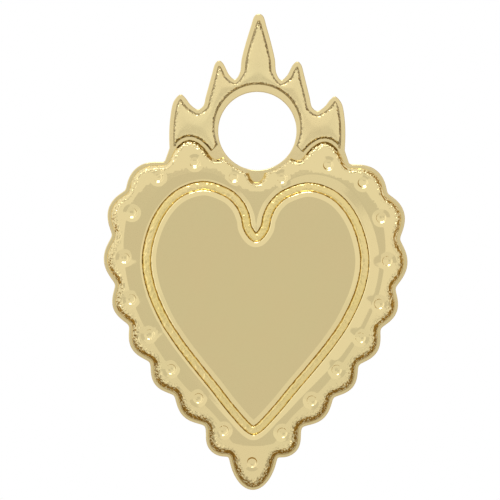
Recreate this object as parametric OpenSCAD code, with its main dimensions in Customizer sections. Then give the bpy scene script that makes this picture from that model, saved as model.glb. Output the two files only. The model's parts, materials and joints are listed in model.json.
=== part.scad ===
// Milagro charm: a flaming heart in gilt sheet brass, hung from a round hole.
// A flat back plate carries four raised pieces: a scalloped border with punched
// dots, a plain heart inside it, a wire in the seam between the two, and a crown
// of five flames round the hole. The charm hangs upright with its front to -Y,
// and the origin is the centre of the hole on the back face.

/* [Charm] */
// Height from the lowest scallop to the tip of the middle flame
charm_h = 50; // [49:1:56]

/* [Back plate] */
// Thickness of the flat back plate
plate_t = 0.5; // [0.4:0.05:0.8]
// Diameter of the hanging hole
hole_d = 8.2; // [8:0.1:8.5]
// Width of the back plate that shows outside the border
rim_w = 0.4; // [0.3:0.05:0.45]

/* [Scalloped border] */
// Height of the border and the plain heart above the back plate
rise = 0.9; // [0.7:0.05:1.2]
// Bulge of a scallop beyond the line through its two ends
scallop_bulge = 0.8; // [0.6:0.05:1]
// Bulge of the long scallop at the foot of the heart
tip_bulge = 3; // [2.7:0.1:3.2]
// Softness of the valley between two scallops
valley_soft = 0.2; // [0.15:0.05:0.5]

/* [Heart line] */
// Width of the seam between the border and the plain heart
seam_w = 1.3; // [1.2:0.05:1.5]
// Width of the wire in the seam
wire_w = 0.8; // [0.6:0.05:0.9]
// Height of the wire above the back plate
wire_h = 0.7; // [0.5:0.05:0.85]

/* [Punched dots] */
// Diameter of a dot at the surface
dot_d = 1; // [0.7:0.05:1.05]
// Depth of a dot
dot_depth = 0.4; // [0.2:0.05:0.6]

/* [Flame crown] */
// Height of the flames above the back plate
crown_rise = 0.8; // [0.6:0.05:1.1]
// Width of the back plate that shows round the flames
flame_rim = 0.45; // [0.35:0.05:0.5]
// Radius of the step that the crown makes round the hole
step_r = 4.5; // [4.45:0.05:4.6]
// Height of that step's centre above the hole's centre
step_up = 0.35; // [0.25:0.05:0.4]
// Gap between the foot of the flames and the edge of the border
foot_gap = 0.3; // [0.2:0.05:0.4]

/* [Hidden] */

// The outlines below are drawn for a charm of this height
drawn_h = 50;
k_size = charm_h / drawn_h;
hole_r = hole_d / 2;
gold = [0.80, 0.73, 0.54];

// Twice the area of a triangle that counts as thin in the flat faces, and how many times
// thinner the next try may go where every corner left is thin
thin_face = 0.004;
thinner = 4;

// Share of a stretch that counts as nearby when the way along a curve is worked out
nearby = 0.02;
// Distance from the middle line at which a right half counts as having reached it
middle_gap = 0.02;

// Steps along one scallop, one flame edge stretch, one stretch of the heart line
// and round a dot
scallop_steps = 10;
flame_steps = 3;
line_steps = 4;
dot_steps = 16;

// Ends of the scallops on the right half, from the notch under the hole down to the foot
scallop_ends = k_size * [
    [0, -4.95], [4.3, -2.6], [9.75, -3.3], [13.8, -6.35], [15.15, -11.15], [14.75, -16.3],
    [13.25, -20.6], [11, -24.45], [8.4, -27.9], [5.15, -31.05], [2.65, -34.25]
];
// Heart line on the right half, from the cleft over the lobe and down to the point
heart_line = k_size * [
    [0, -11.1], [0.8, -10.2], [1.1, -8.9], [1.75, -7.6], [3.1, -6.45], [5.6, -5.75],
    [8.35, -6.75], [10.4, -9.3], [11.45, -12.9], [11.1, -16.2], [9.75, -19.5],
    [8.1, -22.1], [6.15, -24.6], [4.2, -26.95], [2.4, -29.2], [0.75, -30.95]
];
// Punched dots, one inside each scallop, clockwise from the notch. They were struck by
// eye, so the upper ones sit a little further right than on a mirrored charm.
dots = k_size * [
    [2.65, -4.95], [7.45, -3.5], [11.1, -5.3], [13.05, -8.95], [13.75, -13.45], [12.95, -17.95],
    [11.05, -21.5], [8.6, -24.9], [6.05, -28.15], [3, -31.55], [-0.1, -34.7],
    [-3.1, -31.4], [-5.8, -28.05], [-8.7, -25.05], [-11, -21.45], [-12.95, -17.8], [-13.7, -13.5],
    [-13, -8.75], [-10.3, -5], [-6.5, -3.45], [-2.4, -4.9]
];
// Edge of the flames on the right half: a place on the edge, and the way that
// the raised metal steps back from it, a longer way at the pointed tips
flame_edge = [
    [0, 12.3, 0, -1.5], [0.5, 12, -0.65, -1.5], [0.85, 10.9, -1, -0.3], [1.35, 9.2, -1, -0.2],
    [1.75, 7.55, -1, -0.2], [1.9, 6.2, -1, -0.2], [2.4, 5.4, -0.1, -1], [3.05, 5.9, 0.75, -0.65],
    [3.6, 6.95, 0.45, -1.1], [4.1, 7.35, 0, -1.25], [4.55, 6.95, -0.6, -1.15], [4.85, 5.9, -0.95, -0.2],
    [5.15, 4.75, -1, -0.1], [5.45, 3.6, -1, -0.1], [5.7, 2.6, -0.9, -0.5], [6.3, 2.2, -0.1, -1],
    [7.05, 2.7, 0.5, -0.9], [7.55, 3.35, 0.6, -1], [8.1, 3.75, 0, -1.15], [8.7, 3.2, -0.65, -1],
    [9, 2.4, -1, -0.3], [9.2, 0.9, -1, 0], [9.25, -0.55, -1, 0.1], [9.2, -2, -1, 0.7]
];
// Where the silhouette under the flames runs into the border
flame_root = [9.55, -3.3];
// Stretch of the second scallop that the flames stand on, as shares of its length
foot_from = 0.1;
foot_to = 0.76;
// Angle below level where the crown ends beside the hole, and the steps round it
crown_end_angle = 24;
step_angle = 6;
// Bulges of the scallop under the hole, most of which the hole cuts away, and of
// the scallop that the flames stand on
hole_bulge = 1.7;
shoulder_bulge = 2;
// Room between the hole and the border under it, and the share of its soft edge's
// width that the border keeps there
border_hole_gap = 0.35;
tight_edge = 0.4;
// Width of the plate round the hole, and a place well inside the border
collar_w = 0.9;
inside_border = k_size * [0, -6];

// Cross-sections as pairs: distance in from the outline, and height as a share of the rise
border_edge = [[0, 0], [0.1, 0.5], [0.24, 0.8], [0.4, 0.93], [0.62, 1]];
seam_edge = [[0, 0], [0.06, 0.5], [0.14, 0.84], [0.28, 1]];
crown_edge = [[0, 0], [0.07, 0.6], [0.15, 0.9], [0.22, 1]];
// Bowl of a dot as shares of its radius and of its depth
dot_bowl = [[1, 0], [0.82, 0.45], [0.5, 0.86]];
// Half-round section of the wire as shares of its width and height
wire_section = [
    [0.5, 0], [0.5, 0.3], [0.36, 0.72], [0.12, 1], [-0.12, 1], [-0.36, 0.72], [-0.5, 0.3], [-0.5, 0]
];

// Point at t of the way from p1 to p2 on a smooth curve through all four points
function curve(p0, p1, p2, p3, t) =
    0.5 * (2 * p1 + (p2 - p0) * t + (2 * p0 - 5 * p1 + 4 * p2 - p3) * t * t
        + (3 * p1 - p0 - 3 * p2 + p3) * t * t * t);

function mirrored(p) = [-p[0], p[1]];
function left_of(v) = [-v[1], v[0]] / norm(v);
function last(list) = len(list) - 1;

// Knot i of a right half that goes on as its own mirror image at both ends
function knot(half, i) =
    i < 0 ? mirrored(half[-i]) : i < len(half) ? half[i] : mirrored(half[2 * len(half) - 1 - i]);

function on_half(half, i, t) =
    curve(knot(half, i - 1), knot(half, i), knot(half, i + 1), knot(half, i + 2), t);

// Whole outline from its right half, whose first and last points lie on the middle line
function whole(half) =
    concat(half, [for (i = [last(half) - 1 : -1 : 1]) mirrored(half[i])]);

// Share of the full bulge at t of the way along a scallop
function swell(t) =
    (sqrt(pow(sin(180 * t), 2) + valley_soft * valley_soft) - valley_soft)
    / (sqrt(1 + valley_soft * valley_soft) - valley_soft);

function bulge(i) =
    k_size * (i == 0 ? hole_bulge : i == 1 ? shoulder_bulge
        : i == last(scallop_ends) ? tip_bulge : scallop_bulge);

// Way out of the line through the scallops' ends, the place on the scalloped outline
// itself, and the way out of that
function base_out(i, t) =
    left_of(on_half(scallop_ends, i, t + nearby) - on_half(scallop_ends, i, t - nearby));
function outline_at(i, t) =
    on_half(scallop_ends, i, t) + base_out(i, t) * bulge(i) * swell(t);
function outline_out(i, t) = left_of(outline_at(i, t + nearby) - outline_at(i, t - nearby));

// Moves a point straight out of the circle of radius r round the hole
function clear_of_hole(p, r) = norm(p) < r ? p * r / norm(p) : p;

// Scalloped outline drawn in by inset, kept out of a circle of radius hole_clear
function scallop_ring(inset, hole_clear) =
    let (end = last(scallop_ends))
    whole([
        for (i = [0 : end], j = [0 : i < end ? scallop_steps - 1 : scallop_steps / 2])
            let (t = j / scallop_steps)
            clear_of_hole(outline_at(i, t) - outline_out(i, t) * inset, hole_clear)
    ]);

// Where the line through p and q crosses the middle line
function crossing(p, q) = p + (q - p) * p[0] / (p[0] - q[0]);

// Quarter of an ellipse from p, where it runs across, to q, where it runs up or down
function quarter(p, q, t) = p + [(q[0] - p[0]) * sin(90 * t), (q[1] - p[1]) * (1 - cos(90 * t))];

// Right half of an outline, rounded off to the middle line where it would cross it
function cut_half(half) =
    let (n = last(half),
        kept = [for (i = [0 : n]) if (half[i][0] > middle_gap) i],
        from = kept[0],
        to = kept[last(kept)],
        start = crossing(half[from - 1], half[from]),
        end = crossing(half[to], half[to + 1]))
    [for (i = [0 : n])
        i < from ? quarter(start, half[from], i / from)
        : i > to ? quarter(end, half[to], (n - i) / (n - to))
        : half[i]];

// Heart line moved out by away, or in where away is negative
function line_ring(away) =
    let (end = last(heart_line))
    whole(cut_half([
        for (i = [0 : end], j = [0 : i < end ? line_steps - 1 : line_steps / 2])
            let (t = j / line_steps,
                ahead = on_half(heart_line, i, t + nearby) - on_half(heart_line, i, t - nearby))
            on_half(heart_line, i, t) + left_of(ahead) * away
    ]));

// Edge of the flames stepped back by inset
function flame_knot(i) =
    i < 0 ? [-flame_edge[-i][0], flame_edge[-i][1], -flame_edge[-i][2], flame_edge[-i][3]]
    : flame_edge[min(i, last(flame_edge))];
function flame_half(inset) = [
    for (i = [0 : last(flame_edge) - 1], j = [0 : flame_steps - 1])
        let (p = curve(flame_knot(i - 1), flame_knot(i), flame_knot(i + 1), flame_knot(i + 2),
            j / flame_steps))
        k_size * [p[0], p[1]] + inset * [p[2], p[3]]
];

// Foot of the flames, which follows the second scallop from their outer side in
function foot_half(inset) =
    let (side = k_size * last_of(flame_edge)[0] - flame_rim - inset)
    [for (j = [0 : scallop_steps / 2])
        let (t = foot_to + (foot_from - foot_to) * j / (scallop_steps / 2),
            p = outline_at(1, t) + outline_out(1, t) * (foot_gap + inset - rim_w))
        [min(p[0], side), p[1]]];

// Step round the hole, from beside it up to its top
function step_half(inset) = [
    for (a = [-crown_end_angle : step_angle : 90])
        (step_r + inset) * [cos(a), sin(a)] + [0, step_up]
];
function crown_ring(inset) =
    whole(concat(flame_half(flame_rim + inset), foot_half(inset), step_half(inset)));

// Points of a ring lifted to height h
function lifted(ring, h) = [for (p = ring) [p[0], p[1], h]];

// Faces between two rings of n points that start at a and b, the second one inside or
// above. Rings run clockwise seen from the front, unless they are turned.
function band(a, b, n, turned = false) = [
    for (i = [0 : n - 1], half = [0, 1])
        let (next = (i + 1) % n,
            face = half == 0 ? [b + next, b + i, a + i] : [b + next, a + i, a + next])
        turned ? backwards(face) : face
];

function backwards(list) = [for (i = [last(list) : -1 : 0]) list[i]];
function turned_over(faces) = [for (f = faces) backwards(f)];
function span(a, b, n) = [for (i = [a : a <= b ? 1 : -1 : b]) (i + n) % n];
function added(list, k) = [for (v = list) v + k];
function flat(p) = [p[0], p[1]];
function last_of(list) = list[last(list)];

// Twice the area of a triangle, below zero where its corners run clockwise
function turn(a, b, c) = (b[0] - a[0]) * (c[1] - a[1]) - (b[1] - a[1]) * (c[0] - a[0]);

// Whether the corner of a clockwise loop at k can be cut off: it sticks out, no other
// point of the loop lies in it, and it isn't thinner than least
function is_ear(loop, k, points, least) =
    let (n = len(loop),
        a = points[loop[(k + n - 1) % n]],
        b = points[loop[k]],
        c = points[loop[(k + 1) % n]])
    turn(a, b, c) < -least
    && len([
        for (i = loop)
            let (p = points[i])
            if (p != a && p != b && p != c
                && turn(a, b, p) <= 0 && turn(b, c, p) <= 0 && turn(c, a, p) <= 0) i
    ]) == 0;

// First such corner from k on, with thinner ones only when there is no other
function next_ear(loop, k, points, least) =
    k > last(loop) ? next_ear(loop, 0, points, least / thinner)
    : is_ear(loop, k, points, least) ? k
    : next_ear(loop, k + 1, points, least);

// Triangles that fill a flat loop, cut off one corner at a time
function filled(loop, points, faces = []) =
    len(loop) == 3 ? concat(faces, [loop])
    : let (n = len(loop), k = next_ear(loop, 1, points, thin_face))
    filled(
        [for (i = [1 : n - 1]) loop[(k + i) % n]],
        points,
        concat(faces, [[loop[(k + n - 1) % n], loop[k], loop[(k + 1) % n]]])
    );

// Solid from rings stacked upwards, with a flat bottom and a flat top
module raised(rings) {
    n = len(rings[0]);
    points = [for (ring = rings) each ring];
    loop = [for (i = [0 : n - 1]) i];
    polyhedron(
        points = points,
        faces = concat(
            turned_over(filled(loop, points)),
            [for (r = [0 : last(rings) - 1]) each band(r * n, (r + 1) * n, n)],
            filled(added(loop, last(rings) * n), points)
        ),
        convexity = 8
    );
}

// Index of the point of a list that lies nearest to p
function nearest(list, p) =
    let (away = [for (q = list) norm(flat(q) - flat(p))])
    [for (i = [0 : last(list)]) if (away[i] == min(away)) i][0];

// Loop that goes in from place k to the rim of the bowl inside it, round it and back
function with_bowl(loop, k, first_bowl, points) =
    let (from = nearest([for (i = [0 : dot_steps - 1]) points[first_bowl + i]], points[loop[k]]))
    concat(
        [for (i = [0 : k]) loop[i]],
        [for (i = [0 : dot_steps]) first_bowl + (from + i) % dot_steps],
        [for (i = [k : last(loop)]) loop[i]]
    );

// Solid with an outline, an opening and a bowl inside each scallop. Rings go up
// the outer edge and down the inner one. The flat top and bottom are cut into
// sectors, one to a scallop, along lines from its ends to the opening.
module raised_border(outer, inner, bowls) {
    n = len(outer[0]);
    m = len(inner[0]);
    count = len(bowls);
    half = floor(count / 2);
    bowl_size = len(bowls[0]);
    top_out = last(outer) * n;
    first_in = len(outer) * n;
    top_in = first_in + last(inner) * m;
    first_bowl = first_in + len(inner) * m;
    points = concat(
        [for (ring = outer) each ring], [for (ring = inner) each ring], [for (bowl = bowls) each bowl]
    );
    // Where the lines between the scallops meet the opening
    corner = [
        for (i = [0 : half])
            i == 0 ? 0 : nearest(last_of(inner), last_of(outer)[i * scallop_steps])
    ];
    corners = concat(corner, [for (i = [half : -1 : 0]) m - corner[i]]);
    outer_part = [for (i = [0 : count - 1]) span(i * scallop_steps, (i + 1) * scallop_steps, n)];
    inner_part = [for (i = [0 : count - 1]) span(corners[i + 1], corners[i], m)];
    polyhedron(
        points = points,
        faces = concat(
            [for (r = [0 : last(outer) - 1]) each band(r * n, (r + 1) * n, n)],
            [for (r = [0 : last(inner) - 1]) each band(first_in + (r + 1) * m, first_in + r * m, m)],
            [for (i = [0 : count - 1])
                let (loop = concat(added(outer_part[i], top_out), added(inner_part[i], top_in)))
                each filled(
                    with_bowl(loop, scallop_steps / 2, first_bowl + i * bowl_size, points), points)],
            [for (i = [0 : count - 1]) each bowl_faces(first_bowl + i * bowl_size)],
            [for (i = [0 : count - 1])
                let (loop = concat(outer_part[i], added(inner_part[i], first_in)))
                each turned_over(filled(loop, points))]
        ),
        convexity = 8
    );
}

// Points of one punched bowl: rings from its rim down, and then its lowest point
function bowl_points(centre, h) =
    concat(
        [for (ring = dot_bowl, i = [0 : dot_steps - 1])
            let (a = 360 * i / dot_steps, p = centre + dot_d / 2 * ring[0] * [cos(a), sin(a)])
            [p[0], p[1], h - dot_depth * ring[1]]],
        [[centre[0], centre[1], h - dot_depth]]
    );
function bowl_faces(first) =
    let (deepest = first + len(dot_bowl) * dot_steps, floor_ring = deepest - dot_steps)
    concat(
        [for (r = [0 : last(dot_bowl) - 1])
            each band(first + r * dot_steps, first + (r + 1) * dot_steps, dot_steps, true)],
        [for (i = [0 : dot_steps - 1])
            [floor_ring + (i + 1) % dot_steps, floor_ring + i, deepest]]
    );

// Turns a piece drawn flat, with its front up, to hang with its front to -Y
module hung() {
    rotate([90, 0, 0]) children();
}

// Flat plate under everything, with the hanging hole
module back_plate() {
    color(gold) hung() difference() {
        linear_extrude(plate_t) union() {
            polygon(scallop_ring(0, 0));
            polygon(whole(concat(flame_half(0), [k_size * flame_root, inside_border])));
            circle(hole_r + collar_w, $fn = 96);
        }
        translate([0, 0, -plate_t]) cylinder(h = 3 * plate_t, r = hole_r, $fn = 96);
    }
}

// Scalloped border, raised, soft at both edges, with a row of punched dots
module heart_border() {
    edge = [
        for (e = border_edge)
            lifted(scallop_ring(rim_w + e[0], hole_r + border_hole_gap + tight_edge * e[0]),
                plate_t + rise * e[1])
    ];
    opening = [for (e = seam_edge) lifted(line_ring(seam_w / 2 + e[0]), plate_t + rise * e[1])];
    color(gold) hung()
        raised_border(edge, opening, [for (d = dots) bowl_points(d, plate_t + rise)]);
}

// Plain heart in the middle, flat and polished, with a soft edge
module plain_heart() {
    color(gold) hung() raised([
        for (e = seam_edge) lifted(line_ring(-seam_w / 2 - e[0]), plate_t + rise * e[1])
    ]);
}

// Half-round wire that lies in the seam all round the plain heart
module heart_wire() {
    sides = len(wire_section);
    n = len(line_ring(0));
    color(gold) hung() polyhedron(
        points = [
            for (s = wire_section) each lifted(line_ring(wire_w * s[0]), plate_t + wire_h * s[1])
        ],
        faces = [for (s = [0 : sides - 1]) each band(s * n, ((s + 1) % sides) * n, n)],
        convexity = 6
    );
}

// Five flames over the hole, cut from one piece and raised like the border
module flame_crown() {
    color(gold) hung() raised([
        for (e = crown_edge) lifted(crown_ring(e[0]), plate_t + crown_rise * e[1])
    ]);
}

back_plate();
heart_border();
plain_heart();
heart_wire();
flame_crown();
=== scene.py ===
"""Milagro charm: the finish of a gilt brass flaming heart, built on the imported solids.

Every piece is drawn flat in millimetres, x to the right and y up with its front
towards the reader, and is then hung upright with its front to -Y.
"""

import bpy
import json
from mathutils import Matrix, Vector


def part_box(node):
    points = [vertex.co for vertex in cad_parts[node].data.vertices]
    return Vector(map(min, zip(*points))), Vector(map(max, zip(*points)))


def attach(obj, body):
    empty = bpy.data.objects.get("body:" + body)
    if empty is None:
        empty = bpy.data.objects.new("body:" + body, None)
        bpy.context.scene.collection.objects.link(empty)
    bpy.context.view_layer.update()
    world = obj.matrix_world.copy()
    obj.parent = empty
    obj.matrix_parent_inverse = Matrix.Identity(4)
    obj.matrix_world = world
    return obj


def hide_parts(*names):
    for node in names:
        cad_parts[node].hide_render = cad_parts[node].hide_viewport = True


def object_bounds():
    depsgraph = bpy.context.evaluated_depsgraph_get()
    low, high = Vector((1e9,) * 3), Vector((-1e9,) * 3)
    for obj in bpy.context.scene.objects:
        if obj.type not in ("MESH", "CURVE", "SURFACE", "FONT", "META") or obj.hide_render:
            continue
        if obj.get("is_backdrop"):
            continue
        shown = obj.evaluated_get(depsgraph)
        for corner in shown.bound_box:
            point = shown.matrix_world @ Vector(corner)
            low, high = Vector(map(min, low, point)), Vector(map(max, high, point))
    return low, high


bl_info = {
    "name": "Milagro charm",
    "version": (1, 0, 0),
    "blender": (4, 5, 0),
    "location": "3D View > Sidebar > Charm",
    "description": "Makes a gilt brass milagro charm and a small studio for it",
    "category": "Add Mesh",
}

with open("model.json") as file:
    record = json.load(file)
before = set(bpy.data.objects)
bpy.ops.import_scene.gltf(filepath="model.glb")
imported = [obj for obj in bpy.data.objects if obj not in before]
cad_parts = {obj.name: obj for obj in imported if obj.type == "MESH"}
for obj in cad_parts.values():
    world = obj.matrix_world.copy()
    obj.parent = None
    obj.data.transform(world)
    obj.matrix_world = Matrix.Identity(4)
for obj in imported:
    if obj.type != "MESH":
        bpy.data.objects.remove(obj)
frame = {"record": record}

import json
import math
from functools import partial
from types import SimpleNamespace

import bmesh
import bpy
import numpy as np
from bpy.props import FloatProperty, FloatVectorProperty, IntProperty, PointerProperty
from bpy.types import Operator, Panel, PropertyGroup
from mathutils import Matrix, Vector
from mathutils.geometry import delaunay_2d_cdt
from mathutils.kdtree import KDTree

CAD_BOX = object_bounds()
MM = 0.001
HANG = Matrix.Rotation(math.radians(90), 4, "X")


def thickness(node):
    """Lowest and highest place of a node above the back face, in millimetres."""
    low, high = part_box(node)
    return -high.y / MM, -low.y / MM


def bore_radius():
    """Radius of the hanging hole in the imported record, in millimetres."""
    bores = [m for m in frame["record"]["mounts"] if m["name"] == "hanging_hole"]
    return bores[0]["dims"]["r_mm"]


# Driving outlines in millimetres, right half only, clockwise from the middle line.
# Ends of the scallops, from the notch under the hole down to the foot
SCALLOP_ENDS = [
    (0, -4.95), (4.3, -2.6), (9.75, -3.3), (13.8, -6.35), (15.15, -11.15), (14.75, -16.3),
    (13.25, -20.6), (11, -24.45), (8.4, -27.9), (5.15, -31.05), (2.65, -34.25),
]
# Bulge of each scallop beyond the line through its ends
SCALLOP_BULGES = [1.7, 2, 0.8, 0.8, 0.8, 0.8, 0.8, 0.8, 0.8, 0.8, 3]
# The line between the border and the plain heart, from the cleft down to the point
HEART_LINE = [
    (0, -11.1), (0.8, -10.2), (1.1, -8.9), (1.75, -7.6), (3.1, -6.45), (5.6, -5.75),
    (8.35, -6.75), (10.4, -9.3), (11.45, -12.9), (11.1, -16.2), (9.75, -19.5),
    (8.1, -22.1), (6.15, -24.6), (4.2, -26.95), (2.4, -29.2), (0.5, -31.2),
]
# Punched dots, all of them, clockwise from the notch: they were struck by eye
DOTS = [
    (2.65, -4.95), (7.45, -3.5), (11.1, -5.3), (13.05, -8.95), (13.75, -13.45), (12.95, -17.95),
    (11.05, -21.5), (8.6, -24.9), (6.05, -28.15), (3, -31.55), (-0.1, -34.7),
    (-3.1, -31.4), (-5.8, -28.05), (-8.7, -25.05), (-11, -21.45), (-12.95, -17.8), (-13.7, -13.5),
    (-13, -8.75), (-10.3, -5), (-6.5, -3.45), (-2.4, -4.9),
]
# Edge of the flames, and the way that the raised metal steps back from it
FLAME_EDGE = [
    (0, 12.3, 0, -1.5), (0.5, 12, -0.65, -1.5), (0.85, 10.9, -1, -0.3), (1.35, 9.2, -1, -0.2),
    (1.75, 7.55, -1, -0.2), (1.9, 6.2, -1, -0.2), (2.4, 5.4, -0.1, -1), (3.05, 5.9, 0.75, -0.65),
    (3.6, 6.95, 0.45, -1.1), (4.1, 7.35, 0, -1.25), (4.55, 6.95, -0.6, -1.15),
    (4.85, 5.9, -0.95, -0.2), (5.15, 4.75, -1, -0.1), (5.45, 3.6, -1, -0.1), (5.7, 2.6, -0.9, -0.5),
    (6.3, 2.2, -0.1, -1), (7.05, 2.7, 0.5, -0.9), (7.55, 3.35, 0.6, -1), (8.1, 3.75, 0, -1.15),
    (8.7, 3.2, -0.65, -1), (9, 2.4, -1, -0.3), (9.2, 0.9, -1, 0), (9.25, -0.55, -1, 0.1),
    (9.2, -2, -1, 0.7),
]
# Where the silhouette under the flames runs into the scallops
FLAME_ROOT = (9.55, -3.3)
# Softness of the valley between two scallops, and the stretch of the second scallop
# that the flames stand on, as shares of its length
VALLEY_SOFT = 0.2
FOOT_FROM, FOOT_TO = 0.1, 0.76
# Angle below level where the crown ends beside the hole, in degrees
CROWN_END = -24

# Steps along one scallop, one stretch of the heart line, one stretch and the foot of the
# flames, and a quarter of the hole
SCALLOP_STEPS = 96
HEART_STEPS = 28
FLAME_STEPS = 12
FOOT_STEPS = 48
HOLE_STEPS = 60
# Rows across a steep wall, one beside the seam, the crumpled strip and a rounded edge, and
# points round the wire
WALL_STEPS = 16
SEAM_WALL_STEPS = 5
CRUMPLE_STEPS = 12
EDGE_STEPS = 5
WIRE_SIDES = 28
# A length that counts as nothing, how near two points of a fill are one, and how far a smooth
# outline is drawn in so that it stays inside the solids' straight facets
SMALL = 0.02
NEAR = 1e-7
TUCK = 0.015
# Shares of a wall's width and height that its nearly upright foot takes, and the power at which
# the wall rounds over above it
FOOT_SHARE, FOOT_RISE = 0.18, 0.5
WALL_POWER = 1.7
# Share of a wall's width over which its wrinkles set in
WRINKLE_FROM = 0.15
# Tarnish and painted shade where the crumpled strip meets the wall, high up on the border, and in the
# seam, and how wrinkled the seam's walls are
CRUMPLE_TARNISH_SHADE = 0.65
TOP_TARNISH_SHADE = 0.4
SEAM_TARNISH_SHADE = 0.3
SEAM_WRINKLE = 0.3
# Where the softly pressed right-hand side starts and is full, and the same for the foot
RIGHT_FROM, RIGHT_FULL = 2, 8
LOW_FROM, LOW_FULL = -4, -30
# Roundness of the wire's section: 1 is a half round, and less is flatter
WIRE_POWER = 0.1
# Place of the wire's crest, from -1 on its inner side to 1 on its outer one, and how steeply
# its top falls to each side, as shares of its height
CREST, INNER_FALL, OUTER_FALL = 0.47, 0.08, 0.2
# Width of the strip between an edge and the fill beside it, which keeps the shading even
FLAT_STRIP = 0.03
# Shares of a bevel's width where it has rows, which hold its slope even
EVEN_STRIP = (0.2, 0.8, 1)
# Spacing of the points that fill a face, and of those round a dot, and how many of the
# outline's points the crease between the slope and the flat skips
FACE_GRID = 0.3
DOT_GRID = 0.05
CREASE_EVERY = 4
# How round a dot's bowl is: more is flatter in the middle
BOWL_POWER = 3.0
# Noise above which bare metal is specked with tarnish and painted shade, the same in a full corner, and
# how softly a speck starts
SPECKS_BARE, SPECKS_FULL, SPECKS_SOFT = 0.72, 0.3, 0.12
# Roughness of the plating's glossiest and dullest spots, as shares of its own
GLOSSIEST, DULLEST = 0.8, 1.3
# Place of the key lamp from the middle of the picture, in metres
KEY_PLACE = (-0.03, -0.31, 0.34)


def srgb(code):
    """Linear colour of an sRGB hex code, as RGBA."""
    parts = [int(code[i:i + 2], 16) / 255 for i in (1, 3, 5)]
    return tuple([c / 12.92 if c <= 0.04045 else ((c + 0.055) / 1.055) ** 2.4 for c in parts] + [1.0])


def catmull(p0, p1, p2, p3, t):
    """Point at t of the way from p1 to p2 on a smooth curve through all four."""
    return 0.5 * (
        2 * p1 + (p2 - p0) * t + (2 * p0 - 5 * p1 + 4 * p2 - p3) * t ** 2
        + (3 * p1 - p0 - 3 * p2 + p3) * t ** 3
    )


def mirrored(half):
    """Whole ring from its right half, whose first point lies on the middle line."""
    half = np.array(half, float)
    return np.concatenate([half, half[:0:-1] * (-1, 1)])


def closed_curve(knots, steps):
    """Smooth ring through the knots."""
    p0, p1, p2, p3 = (np.roll(knots, k, axis=0)[:, None] for k in (1, 0, -1, -2))
    t = np.arange(steps)[None, :, None] / steps
    return catmull(p0, p1, p2, p3, t).reshape(-1, 2)


def way_out(ring):
    """Unit vectors that point out of a clockwise ring."""
    ahead = np.roll(ring, -1, axis=0) - np.roll(ring, 1, axis=0)
    out = np.stack([-ahead[:, 1], ahead[:, 0]], axis=1)
    return out / np.linalg.norm(out, axis=1)[:, None]


def valley_line():
    """Smooth ring through the valleys between the scallops."""
    return closed_curve(mirrored(SCALLOP_ENDS), SCALLOP_STEPS)


def scallop_line():
    """Scalloped outline of the heart."""
    line = valley_line()
    bulges = SCALLOP_BULGES + SCALLOP_BULGES[-2::-1]
    t = np.arange(SCALLOP_STEPS) / SCALLOP_STEPS
    rise = np.sqrt(np.sin(np.pi * t) ** 2 + VALLEY_SOFT ** 2) - VALLEY_SOFT
    swell = rise / (math.sqrt(1 + VALLEY_SOFT ** 2) - VALLEY_SOFT)
    return line + way_out(line) * (np.array(bulges)[:, None] * swell).reshape(-1, 1)


def clear_of_hole(ring, radius):
    """Moves points straight out of a circle round the hole."""
    away = np.linalg.norm(ring, axis=1)[:, None]
    return np.where(away < radius, ring * radius / np.maximum(away, SMALL), ring)


def scallop_ring(inset, hole_clear=0.0):
    """Scalloped outline drawn in by inset, and kept off the hole."""
    line = scallop_line()
    return clear_of_hole(line - way_out(line) * inset, hole_clear)


def cut_at_middle(ring):
    """Ring with its two ends rounded off to the middle line where they would cross it."""
    half = ring[: len(ring) // 2 + 1].copy()
    clear = np.nonzero(half[:, 0] > SMALL)[0]
    for ends in (range(0, clear[0] + 1), range(len(half) - 1, clear[-1] - 1, -1)):
        ends = list(ends)
        if len(ends) < 3:
            continue
        p, q = half[ends[-2]], half[ends[-1]]
        start = p + (q - p) * p[0] / (p[0] - q[0])
        t = np.arange(len(ends)) / (len(ends) - 1) * math.pi / 2
        half[ends, 0] = start[0] + (q[0] - start[0]) * np.sin(t)
        half[ends, 1] = start[1] + (q[1] - start[1]) * (1 - np.cos(t))
    half[[0, -1], 0] = 0
    return np.concatenate([half, half[-2:0:-1] * (-1, 1)])


def heart_ring(away):
    """Heart line moved out by away, or in where away is negative."""
    line = closed_curve(mirrored(HEART_LINE), HEART_STEPS)
    return cut_at_middle(line + way_out(line) * away)


def flame_half(inset):
    """Edge of the flames on the right, stepped back by inset."""
    knots = np.array(FLAME_EDGE)
    ahead = np.concatenate([knots[1:2] * (-1, 1, -1, 1), knots, knots[-1:]])
    t = np.arange(FLAME_STEPS)[:, None] / FLAME_STEPS
    stretches = []
    for i, (a, b) in enumerate(zip(knots, knots[1:])):
        way = a[2:] + (b[2:] - a[2:]) * t
        stretches.append(catmull(*ahead[i: i + 4], t)[:, :2] + inset * way)
    return np.concatenate(stretches)


def silhouette():
    """Edge of the back plate: flames above, and scallops from their root down."""
    line = scallop_line()
    # The flames' root is on one of the first three scallops
    root = np.linalg.norm(line[: 3 * SCALLOP_STEPS] - FLAME_ROOT, axis=1).argmin()
    half = np.concatenate([flame_half(0), line[root: len(line) // 2 + 1]])
    ring = np.concatenate([half, half[-2:0:-1] * (-1, 1)])
    return ring - way_out(ring) * TUCK


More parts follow.
